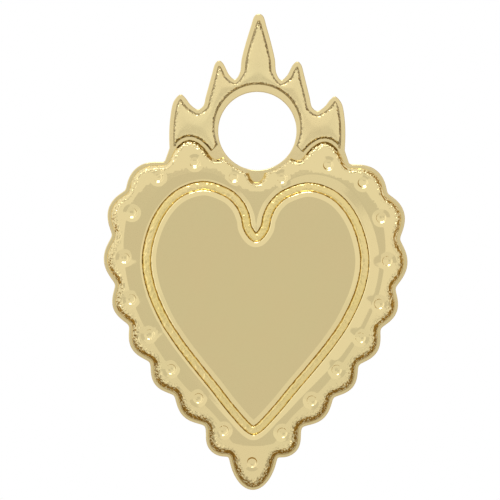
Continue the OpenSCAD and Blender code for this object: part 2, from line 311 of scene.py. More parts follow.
def crown_ring(size, inset):
    """Edge of the flame crown: flames, foot on the scallop, and step round the hole."""
    foot = scallop_ring(size.rim_width - size.foot_gap - inset)[SCALLOP_STEPS: 2 * SCALLOP_STEPS]
    share = np.linspace(FOOT_TO, FOOT_FROM, FOOT_STEPS) * SCALLOP_STEPS
    foot = np.stack([np.interp(share, np.arange(SCALLOP_STEPS), foot[:, k]) for k in (0, 1)], axis=1)
    foot[:, 0] = np.minimum(foot[:, 0], FLAME_EDGE[-1][0] - size.flame_rim - inset)
    angle = np.radians(np.linspace(CROWN_END, 90, HOLE_STEPS))
    step = (size.step_radius + inset) * np.stack([np.cos(angle), np.sin(angle)], axis=1)
    half = np.concatenate([flame_half(size.flame_rim + inset), foot, step + (0, size.step_up)])
    half[[0, -1], 0] = 0
    return np.concatenate([half, half[-2:0:-1] * (-1, 1)])


def circle(radius):
    """Clockwise circle round the hole's centre."""
    angle = -np.linspace(0, 2 * math.pi, 4 * HOLE_STEPS, endpoint=False)
    return radius * np.stack([np.cos(angle), np.sin(angle)], axis=1)


def inside(points, ring):
    """Which points lie inside a ring."""
    x, y = points.T
    within = np.zeros(len(points), bool)
    for a, b in zip(ring, np.roll(ring, -1, axis=0)):
        if a[1] != b[1]:
            spans = (a[1] > y) != (b[1] > y)
            within ^= spans & (x < a[0] + (b[0] - a[0]) * (y - a[1]) / (b[1] - a[1]))
    return within


def distance(points, ring):
    """Distance of each point from a ring."""
    tree = KDTree(len(ring))
    for i, p in enumerate(ring):
        tree.insert((p[0], p[1], 0), i)
    tree.balance()
    near = np.array([tree.find((p[0], p[1], 0))[1] for p in points], int)
    best = np.full(len(points), np.inf)
    for step in (-1, 0):
        a, b = ring[(near + step) % len(ring)], ring[(near + step + 1) % len(ring)]
        along = ((points - a) * (b - a)).sum(axis=1) / ((b - a) ** 2).sum(axis=1)
        foot = a + np.clip(along, 0, 1)[:, None] * (b - a)
        best = np.minimum(best, np.linalg.norm(points - foot, axis=1))
    return best


def grid_points(ring, spacing):
    """Points of a triangular grid inside a ring."""
    low, high = ring.min(axis=0), ring.max(axis=0)
    rows = np.arange(low[1], high[1], spacing * math.sqrt(3) / 2)
    points = np.array([
        (x + spacing / 2 * (k % 2), y)
        for k, y in enumerate(rows) for x in np.arange(low[0], high[0], spacing)
    ])
    return points[inside(points, ring)]


def dot_points(reach):
    """Rings of points round every punched dot, out to its dish's edge."""
    points = [np.array(DOTS, float)]
    for k, radius in enumerate(np.arange(DOT_GRID, reach + DOT_GRID, DOT_GRID)):
        count = round(2 * math.pi * radius / DOT_GRID)
        angle = 2 * math.pi * (np.arange(count) + k % 2 / 2) / count
        ring = radius * np.stack([np.cos(angle), np.sin(angle)], axis=1)
        points += [ring + dot for dot in DOTS]
    return np.concatenate(points)


def filled(loops, lines, spots):
    """Triangles that fill the first loop round the others, over crease lines and loose spots."""
    groups = [*loops, *lines]
    edges, first = [], 0
    for ring in groups:
        edges += [(first + i, first + (i + 1) % len(ring)) for i in range(len(ring))]
        first += len(ring)
    points = np.concatenate([*groups, spots])
    verts, _, faces, origins, _, _ = delaunay_2d_cdt([Vector(p) for p in points], edges, [], 1, NEAR)
    if len(verts) != len(points):
        raise RuntimeError("lines cross in a face, so its fill has points of its own")
    number = [origin[0] for origin in origins]
    faces = [tuple(number[v] for v in face) for face in faces]
    middles = np.array([points[list(face)].mean(axis=0) for face in faces])
    keep = np.ones(len(faces), bool)
    for loop in loops[1:]:
        keep &= ~inside(middles, loop)
    return [face for face, kept in zip(faces, keep) if kept]


class Shell:
    """Points in millimetres with their marks, and the faces between them, of one closed piece."""

    def __init__(self):
        self.points, self.faces = [], []
        # The tarnish mark says where tarnish and painted shade go
        self.marks = {"wrinkle": [], "tarnish": []}
        self.count = 0

    def add(self, flat, height, wrinkle=0.0, tarnish=0.0):
        """Adds flat points at a height, and gives the number of the first."""
        self.points.append(np.column_stack([flat, np.broadcast_to(height, len(flat))]))
        self.marks["wrinkle"].append(np.broadcast_to(wrinkle, len(flat)))
        self.marks["tarnish"].append(np.broadcast_to(tarnish, len(flat)))
        self.count += len(flat)
        return self.count - len(flat)

    def wall(self, rows):
        """Adds rings of one count with faces between them, and gives the first and last ring."""
        starts = [self.add(*row) for row in rows]
        n = len(rows[0][0])
        for a, b in zip(starts, starts[1:]):
            self.faces += [(a + (i + 1) % n, a + i, b + i, b + (i + 1) % n) for i in range(n)]
        return (starts[0], rows[0][0]), (starts[-1], rows[-1][0])

    def fill(self, rings, lines=(), spots=np.empty((0, 2)), height=None):
        """Fills the first ring round the others."""
        number = [first + i for first, ring in rings for i in range(len(ring))]
        extra = np.concatenate([*lines, spots])
        if len(extra):
            first = self.add(extra, height(extra))
            number += range(first, first + len(extra))
        faces = filled([ring for _, ring in rings], lines, spots)
        self.faces += [tuple(number[v] for v in face) for face in faces]

    def piece(self, name):
        """Object of the shell, with its marks as point attributes."""
        marks = {mark: np.concatenate(values) for mark, values in self.marks.items()}
        return flat_mesh(name, np.concatenate(self.points), self.faces, marks)


def wall_rows(ring_at, foot, top, width, tarnish=1.0, rough=1.0, steps=WALL_STEPS):
    """Rows of a steep wall from its foot up: it rounds over at the top, is wrinkled, and is most
    darkened by tarnish and painted shade at its foot. ring_at gives the ring at a distance in.
    """
    rows = []
    for share in np.linspace(0, 1, steps):
        left = min(1, (1 - share) / (1 - FOOT_SHARE))
        up = FOOT_RISE * min(1, share / FOOT_SHARE) + (1 - FOOT_RISE) * (1 - left ** WALL_POWER)
        wrinkle = rough * np.interp(share, (0, WRINKLE_FROM, 1), (0, 1, 1))
        # Tarnish and painted shade, most at the wall's foot and less up towards the crumpled strip
        stain_and_shade = (CRUMPLE_TARNISH_SHADE + (1 - CRUMPLE_TARNISH_SHADE) * (1 - share)) * tarnish
        rows.append((ring_at(share * width), foot + up * (top - foot), wrinkle, stain_and_shade))
    return rows


def new_object(name, points, edges, faces):
    """Object in the scene from points in metres."""
    mesh = bpy.data.meshes.new(name)
    mesh.from_pydata(points, edges, faces)
    piece = bpy.data.objects.new(name, mesh)
    bpy.context.scene.collection.objects.link(piece)
    return piece


def flat_mesh(name, points, faces, marks=None, edges=()):
    """Object from points in millimetres, with point attributes."""
    piece = new_object(name, (np.asarray(points) * MM).tolist(), edges, faces)
    for mark, values in (marks or {}).items():
        layer = piece.data.attributes.new(mark, "FLOAT", "POINT")
        layer.data.foreach_set("value", np.asarray(values, np.float32))
    piece.data.update()
    return piece


def empty_tree(holder):
    """Empties the node tree of a material or a world, and gives the function that adds to it."""
    holder.use_nodes = True
    holder.node_tree.nodes.clear()
    return partial(add_node, holder.node_tree)


def add_node(tree, kind, inputs=(), **settings):
    """Adds a node. Inputs, in order or by name, take values, sockets, or nodes' first outputs."""
    node = tree.nodes.new(kind)
    for key, value in settings.items():
        setattr(node, key, value)
    if not isinstance(inputs, dict):
        inputs = dict(enumerate(inputs))
    for key, value in inputs.items():
        if isinstance(value, bpy.types.Node):
            value = value.outputs[0]
        if isinstance(value, bpy.types.NodeSocket):
            tree.links.new(value, node.inputs[key])
        else:
            node.inputs[key].default_value = value
    return node


# Inputs of the trees that aren't plain numbers
SOCKETS = {"Geometry": "Geometry", "Dots": "Object", "Sides": "Int", "Material": "Material"}


def new_tree(name, *labels):
    """Geometry Nodes tree with named inputs, its function that adds nodes, and its inputs."""
    tree = bpy.data.node_groups.new(name, "GeometryNodeTree")
    for label in ("Geometry", *labels, "Material"):
        kind = "NodeSocket" + SOCKETS.get(label, "Float")
        tree.interface.new_socket(label, in_out="INPUT", socket_type=kind)
    tree.interface.new_socket("Geometry", in_out="OUTPUT", socket_type="NodeSocketGeometry")
    add = partial(add_node, tree)
    return tree, add, add("NodeGroupInput").outputs


def close_tree(add, geometry, inputs):
    """Ends a tree in real geometry with its material."""
    real = add("GeometryNodeRealizeInstances", [geometry])
    done = add("GeometryNodeSetMaterial", {0: real, "Material": inputs["Material"]})
    add("NodeGroupOutput", [done])


def use_tree(piece, tree, values):
    """Puts a tree on a piece and sets its inputs by their sockets' identifiers."""
    modifier = piece.modifiers.new(tree.name, "NODES")
    modifier.node_group = tree
    for item in tree.interface.items_tree:
        if item.in_out == "INPUT" and item.name in values:
            modifier[item.identifier] = values[item.name]


def wrinkled(add, geometry, inputs, amount=1.0):
    """Moves a surface in and out along its normals by a fine noise."""
    place = add("GeometryNodeInputPosition")
    finer = add("ShaderNodeMath", (1.0, inputs["Wrinkle size"]), operation="DIVIDE")
    scaled = add("ShaderNodeVectorMath", {0: place, "Scale": finer}, operation="SCALE")
    noise = add(
        "ShaderNodeTexNoise",
        {"Vector": scaled, "W": inputs["Seed"], "Scale": 1.0, "Detail": 2.0, "Roughness": 0.6},
        noise_dimensions="4D",
    )
    # The noise runs from 0 to 1, and is centred so that the surface moves both ways
    depth = add("ShaderNodeMath", (noise, 0.5), operation="SUBTRACT")
    for factor in (inputs["Wrinkle depth"], amount):
        depth = add("ShaderNodeMath", (depth, factor), operation="MULTIPLY")
    normal = add("GeometryNodeInputNormal")
    offset = add("ShaderNodeVectorMath", {0: normal, "Scale": depth}, operation="SCALE")
    return add("GeometryNodeSetPosition", {0: geometry, "Offset": offset})


def wrinkle_tree():
    """Wrinkles the steep walls of a struck piece, where its wrinkle attribute says so."""
    tree, add, inputs = new_tree("wrinkled_walls", "Wrinkle size", "Wrinkle depth", "Seed")
    amount = add("GeometryNodeInputNamedAttribute", {"Name": "wrinkle"}, data_type="FLOAT")
    close_tree(add, wrinkled(add, inputs["Geometry"], inputs, amount), inputs)
    return tree


def dot_tree():
    """Strikes a bowl with a sharp lip and a soft dish round it under each point of the dots object."""
    tree, add, sizes = new_tree(
        "punched_dots", "Dots", "Face height", "Lowest", "Dot radius", "Bowl depth", "Lip width",
        "Lip depth", "Dish radius", "Dish depth",
    )
    dots = add("GeometryNodeObjectInfo", {"Object": sizes["Dots"]}).outputs["Geometry"]
    parts = add("ShaderNodeSeparateXYZ", [add("GeometryNodeInputPosition")]).outputs
    flat = add("ShaderNodeCombineXYZ", (parts[0], parts[1], sizes["Face height"]))
    away = add(
        "GeometryNodeProximity", {0: dots, "Source Position": flat}, target_element="POINTS"
    ).outputs["Distance"]
    lip_foot = add(
        "ShaderNodeMath", (sizes["Dot radius"], sizes["Lip width"]), operation="SUBTRACT"
    )
    share = add(
        "ShaderNodeMapRange",
        {"Value": away, "From Min": lip_foot, "From Max": 0.0, "To Min": 1.0, "To Max": 0.0},
    )
    rounded = add("ShaderNodeMath", (share, BOWL_POWER), operation="POWER")
    height = 0.0
    for value, edge, middle, depth, form in (
        (rounded, 1.0, 0.0, "Bowl depth", "LINEAR"),
        (away, sizes["Dish radius"], sizes["Dot radius"], "Dish depth", "LINEAR"),
        (away, sizes["Dot radius"], lip_foot, "Lip depth", "SMOOTHSTEP"),
    ):
        down = add(
            "ShaderNodeMapRange",
            {"Value": value, "From Min": edge, "From Max": middle, "To Max": sizes[depth]},
            interpolation_type=form,
        )
        height = add("ShaderNodeMath", (height, down), operation="SUBTRACT")
    face = add("ShaderNodeMath", (parts[2], sizes["Lowest"]), operation="GREATER_THAN")
    offset = add("ShaderNodeCombineXYZ", {2: height})
    moved = add(
        "GeometryNodeSetPosition", {0: sizes["Geometry"], "Selection": face, "Offset": offset}
    )
    close_tree(add, moved, sizes)
    return tree


def wire_tree():
    """Sweeps the wire's section along a closed line, flat side down, and roughens it."""
    tree, add, sizes = new_tree(
        "seam_wire", "Wire width", "Wire height", "Sides", "Wrinkle size", "Wrinkle depth", "Seed"
    )
    line = add("GeometryNodeMeshToCurve", [sizes["Geometry"]])
    level = add("GeometryNodeSetCurveNormal", [line], mode="Z_UP")
    ring = add("GeometryNodeCurvePrimitiveCircle", {"Resolution": sizes["Sides"], "Radius": 1.0})
    parts = add("ShaderNodeSeparateXYZ", [add("GeometryNodeInputPosition")]).outputs
    terms = {"across": parts[0], "up": parts[1], **dict(sizes.items())}
    for name, operation, first, second in (
        ("half", "MULTIPLY", "Wire width", 0.5),
        ("wide", "MULTIPLY", "across", "half"),
        # The section's own way up runs against the front, so its top is its lower half
        ("top", "MINIMUM", "up", 0.0),
        ("rounded", "MULTIPLY", "top", -1.0),
        ("flatter", "POWER", "rounded", WIRE_POWER),
        # The top falls from its crest to both sides
        ("past", "SUBTRACT", "across", CREST),
        ("inner", "MULTIPLY", "past", -INNER_FALL),
        ("outer", "MULTIPLY", "past", OUTER_FALL),
        ("fall", "MAXIMUM", "inner", "outer"),
        ("kept", "SUBTRACT", 1.0, "fall"),
        ("below", "MULTIPLY", "Wire height", -1.0),
        ("flat", "MULTIPLY", "below", "flatter"),
        ("high", "MULTIPLY", "flat", "kept"),
    ):
        inputs = [terms.get(term, term) for term in (first, second)]
        terms[name] = add("ShaderNodeMath", inputs, operation=operation)
    spot = add("ShaderNodeCombineXYZ", (terms["wide"], terms["high"]))
    section = add("GeometryNodeSetPosition", {0: ring, "Position": spot})
    swept = add("GeometryNodeCurveToMesh", {0: level, "Profile Curve": section})
    close_tree(add, wrinkled(add, swept, sizes), sizes)
    return tree


def gilt_brass(name, tone, roughness, grain_mm, grain_depth_mm, tarnish=0.0):
    """Gold-plated brass, warm and mirror-like: its tone drifts slowly, its polish has a fine
    grain, and brown specks of tarnish and painted shade creep up from the feet of the steep walls.
    """
    finish = bpy.context.scene.charm_finish
    material = bpy.data.materials.new(name)
    add = empty_tree(material)
    place = add("ShaderNodeTexCoord").outputs["Object"]
    scaled = add("ShaderNodeVectorMath", {0: place, "Scale": 1 / MM}, operation="SCALE")
    drift, specks, grain = (
        add(
            "ShaderNodeTexNoise",
            {"Vector": scaled, "Scale": 1 / spacing, "Detail": detail, "Roughness": coarseness},
        ) for spacing, detail, coarseness in (
            (finish.tone_mm, 2.0, 0.5), (finish.speck_mm, 3.0, 0.65), (grain_mm, 3.0, 0.5),
        )
    )
    # Specks of tarnish and painted shade, thickest where the mark is full: at the feet of the walls, in
    # the seam and low down
    corner = add("ShaderNodeAttribute", attribute_name="tarnish").outputs["Fac"]
    least = add(
        "ShaderNodeMapRange", {"Value": corner, "To Min": SPECKS_BARE, "To Max": SPECKS_FULL}
    )
    most = add("ShaderNodeMath", (least, SPECKS_SOFT), operation="ADD")
    spots = add(
        "ShaderNodeMapRange",
        {"Value": specks, "From Min": least, "From Max": most, "To Max": tarnish},
        interpolation_type="SMOOTHSTEP",
    )
    gold = tuple(getattr(finish, tone))
    for share, other in ((drift, finish.gold_warm), (spots, finish.tarnish)):
        mix = add("ShaderNodeMix", {0: share, 6: gold, 7: tuple(other)}, data_type="RGBA")
        gold = mix.outputs[2]
    # Most of the noise lies between 0.3 and 0.7
    gloss = add(
        "ShaderNodeMapRange",
        {"Value": grain, "From Min": 0.3, "From Max": 0.7, "To Min": roughness * GLOSSIEST,
         "To Max": roughness * DULLEST},
    )
    relief = add(
        "ShaderNodeBump", {"Strength": 1.0, "Distance": grain_depth_mm * MM, "Height": grain}
    )
    shader = add(
        "ShaderNodeBsdfPrincipled",
        {"Base Color": gold, "Roughness": gloss, "Metallic": 1.0, "Normal": relief},
    )
    add("ShaderNodeOutputMaterial", [shader])
    return material


def finished(piece, node, sharp_degrees=65):
    """Makes a piece's modifiers real, hangs it upright and puts it in its node's place."""
    graph = bpy.context.evaluated_depsgraph_get()
    mesh = bpy.data.meshes.new_from_object(piece.evaluated_get(graph))
    mesh.name = piece.name
    piece.modifiers.clear()
    rough = piece.data
    piece.data = mesh
    bpy.data.meshes.remove(rough)
    mesh.transform(HANG)
    shell = bmesh.new()
    shell.from_mesh(mesh)
    bmesh.ops.recalc_face_normals(shell, faces=shell.faces)
    shell.to_mesh(mesh)
    shell.free()
    mesh.shade_smooth()
    mesh.set_sharp_from_angle(angle=math.radians(sharp_degrees))
    if "wrinkle" in mesh.attributes:
        mesh.attributes.remove(mesh.attributes["wrinkle"])
    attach(piece, "root")
    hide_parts(node)
    return piece


def number(name, description, default, **kind):
    """Property for a number."""
    return FloatProperty(name=name, description=description, default=default, **kind)


def length(name, description, default_mm):
    """Property for a length, given in millimetres."""
    return number(name, description, default_mm * MM, unit="LENGTH", precision=5)


def degrees(name, description, default):
    """Property for an angle, given in degrees."""
    return number(name, description, math.radians(default), subtype="ANGLE")


class CharmSizes(PropertyGroup):
    """Sizes of the pieces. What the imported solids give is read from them."""

    plate_top: length("Plate thickness", "Thickness of the back plate", thickness("back_plate")[1])
    plate_round: length("Plate edge", "Rounding of the back plate's cut edges", 0.08)
    hole_radius: length("Hole radius", "Radius of the hanging hole", bore_radius())
    border_top: length("Border height", "Height of the border's face above the back",
                       thickness("heart_border")[1])
    rim_width: length("Rim", "Width of the plate outside the border", 0.4)
    hole_gap: length("Hole gap", "Room between the hole and the border under it", 0.35)
    wall_width: length("Wall", "Width of the border's steep outer wall", 0.46)
    crumple_width: length("Crumpled strip", "Width of the crumpled strip over that wall", 0.27)
    hole_wall: length("Wall at the hole", "Width of that wall under the hole", 0.2)
    flat_start: length("Flat start", "Where the border turns flat, in from the valleys' line", 1.25)
    flat_further: length("Flat start, further", "How much further in on the right and low down", 0.4)
    rim_low: length("Rim, low down", "How much narrower the rim is at the foot", 0.12)
    wall_low: number("Wall, low down", "How much wider the wall is at the foot, as a share", 0.5)
    bevel_slope: degrees("Edge slope", "Slope between the wall and the flat", 6.8)
    seam_out: length("Seam, outer side", "Room from the heart line out to the border's foot", 0.37)
    seam_in: length("Seam, inner side", "Room from the heart line in to the plain heart's foot", 0.52)
    seam_wall: length("Seam wall", "Width of each steep wall beside the seam", 0.04)
    edge_width: length("Seam edge", "Width of the bevel above that wall", 0.1)
    edge_drop: length("Seam edge drop", "How far that bevel falls", 0.033)
    shoulder_width: length("Seam shoulder", "Width of the soft shoulder beside it", 0.55)
    shoulder_drop: length("Shoulder drop", "How far the soft shoulder falls towards the seam", 0.06)
    shoulder_right: length("Shoulder, right", "How much wider it is outside the seam on the right", 0.7)
    drop_right: length("Shoulder drop, right", "How much further it falls there", 0.11)
    wire_width: length("Wire width", "Width of the wire in the seam", 0.93)
    wire_shift: length("Wire place", "How far the wire lies in from the heart line", 0.08)
    wire_top: length("Wire height", "Height of the wire's crest above the back",
                     thickness("heart_wire")[1] - 0.01)
    dot_radius: length("Dot radius", "Radius of a punched dot", 0.56)
    bowl_depth: length("Bowl depth", "Depth of a punched dot's bowl below its lip", 0.09)
    lip_width: length("Lip width", "Width of the sharp step at a dot's edge", 0.07)
    lip_depth: length("Lip depth", "Depth of that step", 0.04)
    dish_radius: length("Dish radius", "Radius of the soft dish round it", 0.95)
    dish_depth: length("Dish depth", "Depth of that dish", 0.06)
    crown_top: length("Crown height", "Height of the flames above the back",
                      thickness("flame_crown")[1])
    crown_wall: length("Crown wall", "Width of the flames' steep walls", 0.22)
    crown_dome: length("Flame doming", "How far the flames swell above their walls", 0.08)
    dome_reach: length("Doming reach", "How far in from the walls the swelling ends", 1.2)
    flame_rim: length("Flame rim", "Width of the plate round the flames", 0.45)
    step_radius: length("Step radius", "Radius of the crown's step round the hole", 4.5)
    step_up: length("Step centre", "Height of that step's centre above the hole's", 0.35)
    foot_gap: length("Foot gap", "Gap between the foot of the flames and the border", 0.3)
    wrinkle_size: length("Wrinkle size", "Spacing of the wrinkles on steep walls", 0.22)
    wrinkle_depth: length("Wrinkle depth", "Depth of those wrinkles", 0.26)
    wire_wrinkle_size: length("Wire grain", "Spacing of the lumps on the wire", 0.25)
    wire_wrinkle_depth: length("Wire grain depth", "Depth of those lumps", 0.17)
    seed: IntProperty(name="Seed", description="Seed of the wrinkles", default=7)


def colour(name, description, code):
    """Property for a colour, given as an sRGB hex code."""
    return FloatVectorProperty(
        name=name, description=description, subtype="COLOR", size=4, default=srgb(code), min=0, max=1
    )


class CharmFinish(PropertyGroup):
    """Colours and grain of the plating."""

    gold: colour("Gold", "Main tone of the plating", "#E3D39C")
    gold_warm: colour("Warm gold", "Warmer tone that the plating drifts to", "#E6D19B")
    gold_plate: colour("Plate gold", "Tone of the plating on the back plate", "#DCCB96")
    gold_crown: colour("Crown gold", "Tone of the plating on the flames", "#E9DAA3")
    gold_wire: colour("Wire gold", "Tone of the plating on the soldered wire", "#E0CA7B")
    # Brown of the specks of tarnish and painted shade at the feet of the walls
    tarnish: colour("Tarnish", "Colour of the tarnish in the corners", "#5B4312")
    tone_mm: number("Tone size", "Size of the drift between the tones, in millimetres", 4.0)
    speck_mm: number("Speck size", "Size of the specks of tarnish, in millimetres", 0.22)


class CharmStudio(PropertyGroup):
    """Camera and light."""

    frame_width: length("View width", "Width of the picture at the charm", 52.5)
    centre_x: length("View centre X", "Place at the middle of the picture", -0.606)
    centre_z: length("View centre Z", "Place at the middle of the picture", -12.49)
    lean: degrees("Lean", "How far the charm leans to the right in the picture", 0.747)
    lens_mm: number("Lens", "Focal length, in millimetres", 200.0)
    floor_z: length("Floor", "Height of the floor", -300)
    floor_side: length("Floor side", "Half the side of the floor", 2200)
    floor_mirrored: number("Floor in the metal", "Brightness of the floor in the metal", 0.93)
    screen_side: length("Camera screen", "Side of the grey screen round the camera", 240)
    screen_top: length("Camera screen top", "Height of its upper edge over the centre", 30)
    screen_away: length("Camera screen distance", "How far off that screen stands", 600)
    screen_grey: number("Camera screen grey", "Brightness of that screen", 0.775)
    cards_away: length("Cards", "How far off the other cards stand", 260)
    card_tone: colour("Card tone", "Colour of the bright cards", "#FFFFFF")
    flag_tone: colour("Flag tone", "Colour of the dark card beside and below the charm", "#8F7440")
    flag_light: number("Flag", "Brightness of that card", 1.5)
    ring_light: number("Ring light", "Brightness of the card in front at the left", 1.3)
    window_light: number("Window", "Brightness of the card at the upper left", 1.2)
    key_power: number("Key lamp", "Power of the soft lamp above", 0.5)
    key_side: length("Key lamp side", "Side of that lamp", 180)
    world_light: number("Surroundings", "Strength of the surroundings on matt surfaces", 0.6)


def in_mm(group):
    """A group's values by name, with its lengths in millimetres."""
    kinds = group.bl_rna.properties
    return SimpleNamespace(**{
        name: getattr(group, name) / (MM if kinds[name].unit == "LENGTH" else 1)
        for name in group.__annotations__
    })


def wrinkle_walls(piece, size, material, extra_seed):
    """Puts the wrinkles on a piece, with a seed of its own."""
    use_tree(piece, bpy.data.node_groups.get("wrinkled_walls") or wrinkle_tree(), {
        "Wrinkle size": size.wrinkle_size * MM, "Wrinkle depth": size.wrinkle_depth * MM,
        "Seed": float(size.seed + extra_seed), "Material": material,
    })


def on_right(x):
    """Share from 0 near the middle to 1 on the right-hand side, where the charm is pressed softer."""
    return np.interp(x, (RIGHT_FROM, RIGHT_FULL), (0, 1))


def seam_rows(size, side):
    """Rows beside the seam, on its outer side or its inner one, up to the flat."""
    room = size.seam_out if side > 0 else size.seam_in

    def ring_at(away):
        return heart_ring(side * (room + away))

    softer = on_right(heart_ring(0)[:, 0]) * (side > 0)
    wide = (size.shoulder_width + size.shoulder_right * softer)[:, None]
    top = size.border_top
    low = top - size.shoulder_drop - size.drop_right * softer
    edge = size.seam_wall + size.edge_width
    # The seam's walls are darkened by tarnish and painted shade at their feet
    rows = wall_rows(
        ring_at, size.plate_top, low - size.edge_drop, size.seam_wall, SEAM_TARNISH_SHADE, SEAM_WRINKLE,
        SEAM_WALL_STEPS,
    )
    for share in EVEN_STRIP:
        ring = ring_at(size.seam_wall + size.edge_width * share)
        rows.append((ring, low - size.edge_drop * (1 - share)))
    for share in EVEN_STRIP:
        rows.append((ring_at(edge + (wide - edge) * share), low + (top - low) * share))
    rows.append((ring_at(wide + FLAT_STRIP), top))
    return rows


class CHARM_OT_back_plate(Operator):
    """Makes the flat back plate with its hanging hole and its softly rounded cut edges"""

    bl_idname = "charm.back_plate"
    bl_label = "Back plate"

    def execute(self, context):
        size = in_mm(context.scene.charm_sizes)
        top, soft = size.plate_top, size.plate_round
        angles = np.linspace(0, math.pi / 2, EDGE_STEPS)
        profile = [(soft + FLAT_STRIP, top)]
        profile += [(soft * (1 - math.sin(a)), top - soft * (1 - math.cos(a))) for a in angles]
        profile += [(inset, top - height) for inset, height in profile[::-1]]
        edge = silhouette()
        out = way_out(edge)
        shell = Shell()
        front, back = shell.wall([(edge - out * inset, height) for inset, height in profile])
        rim, back_rim = shell.wall(
            [(circle(size.hole_radius + inset), height) for inset, height in profile]
        )
        shell.fill([front, rim])
        shell.fill([back, back_rim])
        piece = shell.piece("back_plate_gilt")
        material = gilt_brass(
            "plated_sheet_brass", "gold_plate", roughness=0.1, grain_mm=0.3, grain_depth_mm=0.0015
        )
        piece.data.materials.append(material)
        finished(piece, "back_plate", sharp_degrees=40)
        return {"FINISHED"}


class CHARM_OT_heart_border(Operator):
    """Makes the scalloped border with its wrinkled walls, soft edges and punched dots"""

    bl_idname = "charm.heart_border"
    bl_label = "Scalloped border"

    def execute(self, context):
        size = in_mm(context.scene.charm_sizes)
        line = valley_line()
        clear = size.hole_radius + size.hole_gap
        slope = math.tan(size.bevel_slope)
        # The lower scallops are pressed less sharply, and get more tarnish and painted shade
        low_down = np.interp(line[:, 1:], (LOW_FULL, LOW_FROM), (1, 0))
        # The face slopes from further in on the right and low down
        seam = seam_rows(size, 1)
        start = size.flat_start + size.flat_further * np.maximum(on_right(line[:, :1]), low_down)
        start = np.minimum(start, distance(line, seam[-1][0])[:, None] - 3 * FLAT_STRIP)
        flat_edge = clear_of_hole(line - way_out(line) * start, clear + size.flat_start)
        flat_edge = flat_edge[::CREASE_EVERY]
        rim = size.rim_width - size.rim_low * low_down
        wider = 1 + size.wall_low * low_down

        def ring_at(away):
            near = clear + away * size.hole_wall / size.wall_width
            return scallop_ring(rim + away * wider, near)

        def height(points):
            fall = np.where(inside(points, flat_edge), 0, distance(points, flat_edge) * slope)
            return size.border_top - fall

        top = height(ring_at(size.wall_width))
        # Tarnish and painted shade on the border's walls, more of it low down
        stain_and_shade = TOP_TARNISH_SHADE + (1 - TOP_TARNISH_SHADE) * low_down[:, 0]
        rows = wall_rows(ring_at, size.plate_top, top, size.wall_width, stain_and_shade)
        # The crumpled strip fades from that tarnish and painted shade to bare metal
        for share in np.linspace(0, 1, CRUMPLE_STEPS)[1:]:
            ring = ring_at(size.wall_width + size.crumple_width * share)
            rows.append((ring, height(ring), 1 - share, CRUMPLE_TARNISH_SHADE * (1 - share)))
        shell = Shell()
        foot, edge = shell.wall(rows)
        seam_foot, seam_edge = shell.wall(seam)
        crease = flat_edge + way_out(flat_edge) * FLAT_STRIP
        spots = grid_points(edge[1], FACE_GRID)
        dots = dot_points(size.dish_radius)
        to_dots = np.min([np.linalg.norm(spots - dot, axis=1) for dot in DOTS], axis=0)
        spots = np.concatenate([spots[to_dots > size.dish_radius + FACE_GRID / 2], dots])
        spots = spots[inside(spots, edge[1]) & ~inside(spots, seam_edge[1])]
        for ring in (edge[1], seam_edge[1], flat_edge, crease):
            spots = spots[distance(spots, ring) > DOT_GRID / 2]
        shell.fill([edge, seam_edge], [flat_edge, crease], spots, height)
        shell.fill([foot, seam_foot])
        piece = shell.piece("scalloped_border")

        material = gilt_brass(
            "plated_struck_brass", "gold", roughness=0.07, grain_mm=0.2,
            grain_depth_mm=0.001, tarnish=0.5,
        )
        places = flat_mesh("dot_places", [(x, y, size.border_top) for x, y in DOTS], [])
        names = ("dot_radius", "bowl_depth", "lip_width", "lip_depth", "dish_radius", "dish_depth")
        use_tree(piece, dot_tree(), {
            "Dots": places, "Face height": size.border_top * MM,
            "Lowest": (size.plate_top + size.border_top) / 2 * MM, "Material": material,
            **{name.capitalize().replace("_", " "): getattr(size, name) * MM for name in names},
        })
        wrinkle_walls(piece, size, material, 0)
        finished(piece, "heart_border")
        bpy.data.objects.remove(places)
        return {"FINISHED"}


class CHARM_OT_plain_heart(Operator):
    """Makes the plain polished heart with a soft shoulder all round"""

    bl_idname = "charm.plain_heart"
    bl_label = "Plain heart"

    def execute(self, context):
        size = in_mm(context.scene.charm_sizes)
        shell = Shell()
        foot, edge = shell.wall(seam_rows(size, -1))
        shell.fill([edge])
        shell.fill([foot])
        piece = shell.piece("plain_heart_gilt")
        material = gilt_brass(
            "plated_mirror_brass", "gold", roughness=0.06, grain_mm=0.25,
            grain_depth_mm=0.0004, tarnish=0.5,
        )
        wrinkle_walls(piece, size, material, 1)
        finished(piece, "plain_heart")
        return {"FINISHED"}


class CHARM_OT_heart_wire(Operator):
    """Makes the wire in the seam, flattened and made grainy by the soldering"""

    bl_idname = "charm.heart_wire"
    bl_label = "Seam wire"

    def execute(self, context):
        size = in_mm(context.scene.charm_sizes)
        line = heart_ring(-size.wire_shift)
        n = len(line)
        points = np.column_stack([line, np.full(n, size.plate_top)])
        piece = flat_mesh("seam_wire", points, [], edges=[(i, (i + 1) % n) for i in range(n)])
        material = gilt_brass(
            "plated_brass_wire", "gold_wire", roughness=0.12, grain_mm=0.12,
            grain_depth_mm=0.004, tarnish=0.5,
        )
        use_tree(piece, wire_tree(), {
            "Wire width": size.wire_width * MM, "Wire height": (size.wire_top - size.plate_top) * MM,
            "Sides": WIRE_SIDES, "Wrinkle size": size.wire_wrinkle_size * MM,
            "Wrinkle depth": size.wire_wrinkle_depth * MM, "Seed": size.seed + 2.0,
            "Material": material,
        })
        finished(piece, "heart_wire")
        return {"FINISHED"}


